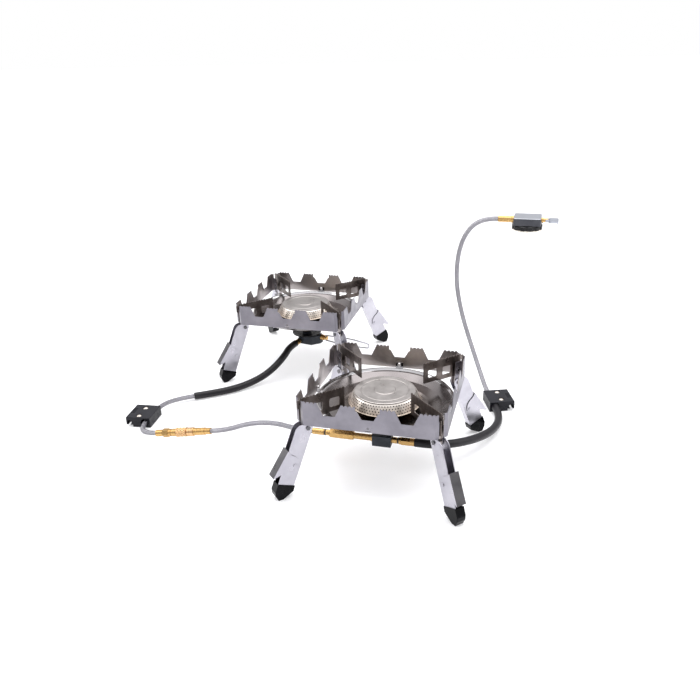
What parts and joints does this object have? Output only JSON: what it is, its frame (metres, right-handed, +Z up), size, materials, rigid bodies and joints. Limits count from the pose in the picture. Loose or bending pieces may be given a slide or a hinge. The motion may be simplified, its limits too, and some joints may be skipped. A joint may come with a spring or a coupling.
{
  "type": "canister stove",
  "caption": "Hose-fed camping stove: two square burners with toothed windscreens on folding legs, joined by a quick-coupled hose, with a canister valve.",
  "frame": {"origin": "on the ground at the midpoint between the two burner units, without the hoses and what is on them", "axes": "+X to the right along the front panels, +Y to the back, +Z up"},
  "size_m": [0.5212, 0.4638, 0.2363],
  "materials": {
    "black_block": "satin black",
    "brass": "machined",
    "brass_knurled": "machined, grooved",
    "burner_dark": "dark",
    "cap_steel": "matt",
    "clip_plastic": "moulded",
    "collar_black": "moulded",
    "cup_steel": "bright",
    "foot_plastic": "gloss black",
    "hose_braid": "braided",
    "knob_steel": "satin",
    "leg_steel": "satin",
    "lever_steel": "satin",
    "panel_steel": "satin",
    "polished_steel": "polished",
    "rivet_steel": "bright",
    "screw_steel": "bright",
    "shield_black": "gloss black",
    "sleeve_rubber": "satin",
    "support_steel": "satin, heat darkened",
    "valve_grey": "satin",
    "wire_steel": "bright"
  },
  "bodies": {
    "frame": {"canister_valve_body": "valve_grey", "canister_valve_ferrule": "brass", "coupling_plug": "brass", "coupling_socket": "brass", "feed_hose": "hose_braid", "feed_sleeve": "sleeve_rubber", "front_burner_cap": "cap_steel", "front_burner_cup": "cup_steel", "front_drip_pan": "polished_steel", "front_mixer_tube": "burner_dark", "front_pot_supports": "support_steel", "front_valve_block": "black_block", "front_windscreen_panels": "panel_steel", "gas_fittings": "brass", "heat_shields": "shield_black", "hose_clip_bases": "clip_plastic", "hose_clip_covers": "clip_plastic", "hose_clip_screws": "screw_steel", "link_hose_front": "hose_braid", "link_hose_rear": "hose_braid", "link_sleeve": "sleeve_rubber", "rear_burner_cap": "cap_steel", "rear_burner_cup": "cup_steel", "rear_drip_pan": "polished_steel", "rear_mixer_tube": "burner_dark", "rear_pot_supports": "support_steel", "rear_valve_block": "black_block", "rear_windscreen_panels": "panel_steel", "rivets_and_pins": "rivet_steel"},
    "front_leg_1": {"front_leg_1": "leg_steel", "front_leg_1_foot": "foot_plastic"},
    "front_leg_1_lever": {"front_leg_1_lever": "lever_steel"},
    "front_leg_2": {"front_leg_2": "leg_steel", "front_leg_2_foot": "foot_plastic"},
    "front_leg_2_lever": {"front_leg_2_lever": "lever_steel"},
    "front_leg_3": {"front_leg_3": "leg_steel", "front_leg_3_foot": "foot_plastic"},
    "front_leg_3_lever": {"front_leg_3_lever": "lever_steel"},
    "front_leg_4": {"front_leg_4": "leg_steel", "front_leg_4_foot": "foot_plastic"},
    "front_leg_4_lever": {"front_leg_4_lever": "lever_steel"},
    "rear_leg_1": {"rear_leg_1": "leg_steel", "rear_leg_1_foot": "foot_plastic"},
    "rear_leg_1_lever": {"rear_leg_1_lever": "lever_steel"},
    "rear_leg_2": {"rear_leg_2": "leg_steel", "rear_leg_2_foot": "foot_plastic"},
    "rear_leg_2_lever": {"rear_leg_2_lever": "lever_steel"},
    "rear_leg_3": {"rear_leg_3": "leg_steel", "rear_leg_3_foot": "foot_plastic"},
    "rear_leg_3_lever": {"rear_leg_3_lever": "lever_steel"},
    "rear_leg_4": {"rear_leg_4": "leg_steel", "rear_leg_4_foot": "foot_plastic"},
    "rear_leg_4_lever": {"rear_leg_4_lever": "lever_steel"},
    "rear_spindle": {"rear_valve_spindle": "brass"},
    "rear_handle": {"rear_valve_handle": "wire_steel"},
    "canister_collar": {"canister_collar": "collar_black"},
    "canister_valve_stem": {"canister_valve_stem": "brass"},
    "canister_valve_knob": {"canister_valve_knob": "knob_steel"},
    "coupling_sleeve": {"coupling_sleeve": "brass_knurled"}
  },
  "joints": [
    {"name": "front_leg_1_fold", "type": "hinge", "parent": "frame", "child": "front_leg_1", "pos_m": [0.0195, -0.1965, 0.0775], "axis": [0.7071, -0.7071, 0], "range_deg": [0, 70]},
    {"name": "front_leg_1_lever_swing", "type": "hinge", "parent": "front_leg_1", "child": "front_leg_1_lever", "pos_m": [0.00656, -0.20944, 0.03778], "axis": [0.7071, -0.7071, 0], "range_deg": [0, 14]},
    {"name": "front_leg_2_fold", "type": "hinge", "parent": "frame", "child": "front_leg_2", "pos_m": [0.1595, -0.1965, 0.0775], "axis": [0.7071, 0.7071, 0], "range_deg": [0, 70]},
    {"name": "front_leg_2_lever_swing", "type": "hinge", "parent": "front_leg_2", "child": "front_leg_2_lever", "pos_m": [0.17244, -0.20944, 0.03778], "axis": [0.7071, 0.7071, 0], "range_deg": [-10, 4]},
    {"name": "front_leg_3_fold", "type": "hinge", "parent": "frame", "child": "front_leg_3", "pos_m": [0.1595, -0.0565, 0.0775], "axis": [-0.7071, 0.7071, 0], "range_deg": [0, 70]},
    {"name": "front_leg_3_lever_swing", "type": "hinge", "parent": "front_leg_3", "child": "front_leg_3_lever", "pos_m": [0.17244, -0.04356, 0.03778], "axis": [-0.7071, 0.7071, 0], "range_deg": [0, 14]},
    {"name": "front_leg_4_fold", "type": "hinge", "parent": "frame", "child": "front_leg_4", "pos_m": [0.0195, -0.0565, 0.0775], "axis": [-0.7071, -0.7071, 0], "range_deg": [0, 70]},
    {"name": "front_leg_4_lever_swing", "type": "hinge", "parent": "front_leg_4", "child": "front_leg_4_lever", "pos_m": [0.00656, -0.04356, 0.03778], "axis": [-0.7071, -0.7071, 0], "range_deg": [0, 14]},
    {"name": "rear_leg_1_fold", "type": "hinge", "parent": "frame", "child": "rear_leg_1", "pos_m": [-0.1595, 0.0565, 0.0775], "axis": [0.7071, -0.7071, 0], "range_deg": [0, 70]},
    {"name": "rear_leg_1_lever_swing", "type": "hinge", "parent": "rear_leg_1", "child": "rear_leg_1_lever", "pos_m": [-0.17244, 0.04356, 0.03778], "axis": [0.7071, -0.7071, 0], "range_deg": [0, 14]},
    {"name": "rear_leg_2_fold", "type": "hinge", "parent": "frame", "child": "rear_leg_2", "pos_m": [-0.0195, 0.0565, 0.0775], "axis": [0.7071, 0.7071, 0], "range_deg": [0, 70]},
    {"name": "rear_leg_2_lever_swing", "type": "hinge", "parent": "rear_leg_2", "child": "rear_leg_2_lever", "pos_m": [-0.00656, 0.04356, 0.03778], "axis": [0.7071, 0.7071, 0], "range_deg": [0, 14]},
    {"name": "rear_leg_3_fold", "type": "hinge", "parent": "frame", "child": "rear_leg_3", "pos_m": [-0.0195, 0.1965, 0.0775], "axis": [-0.7071, 0.7071, 0], "range_deg": [0, 70]},
    {"name": "rear_leg_3_lever_swing", "type": "hinge", "parent": "rear_leg_3", "child": "rear_leg_3_lever", "pos_m": [-0.00656, 0.20944, 0.03778], "axis": [-0.7071, 0.7071, 0], "range_deg": [0, 14]},
    {"name": "rear_leg_4_fold", "type": "hinge", "parent": "frame", "child": "rear_leg_4", "pos_m": [-0.1595, 0.1965, 0.0775], "axis": [-0.7071, -0.7071, 0], "range_deg": [0, 70]},
    {"name": "rear_leg_4_lever_swing", "type": "hinge", "parent": "rear_leg_4", "child": "rear_leg_4_lever", "pos_m": [-0.17244, 0.20944, 0.03778], "axis": [-0.7071, -0.7071, 0], "range_deg": [0, 14]},
    {"name": "rear_spindle_turn", "type": "hinge", "parent": "frame", "child": "rear_spindle", "pos_m": [-0.08846, 0.13067, 0.0404], "axis": [0.9703, -0.2419, 0], "range_deg": [0, 540]},
    {"name": "rear_handle_fold", "type": "hinge", "parent": "rear_spindle", "child": "rear_handle", "pos_m": [-0.05867, 0.12324, 0.0404], "axis": [0, 0, 1], "range_deg": [-18, 18]},
    {"name": "canister_collar_turn", "type": "hinge", "parent": "frame", "child": "canister_collar", "pos_m": [0.2234, 0.117, 0.22], "axis": [0, 0, 1], "continuous": true},
    {"name": "canister_knob_turn", "type": "hinge", "parent": "frame", "child": "canister_valve_stem", "pos_m": [0.2234, 0.117, 0.2316], "axis": [1, 0, 0], "range_deg": [0, 540]},
    {"name": "canister_knob_fold", "type": "hinge", "parent": "canister_valve_stem", "child": "canister_valve_knob", "pos_m": [0.2474, 0.117, 0.2316], "axis": [0, 1, 0], "range_deg": [0, 80]},
    {"name": "coupling_sleeve_slide", "type": "slide", "parent": "frame", "child": "coupling_sleeve", "axis": [0.9883, 0.035, 0.1481], "range_m": [0, 0.004], "stiffness_N_per_m": 300}
  ]
}
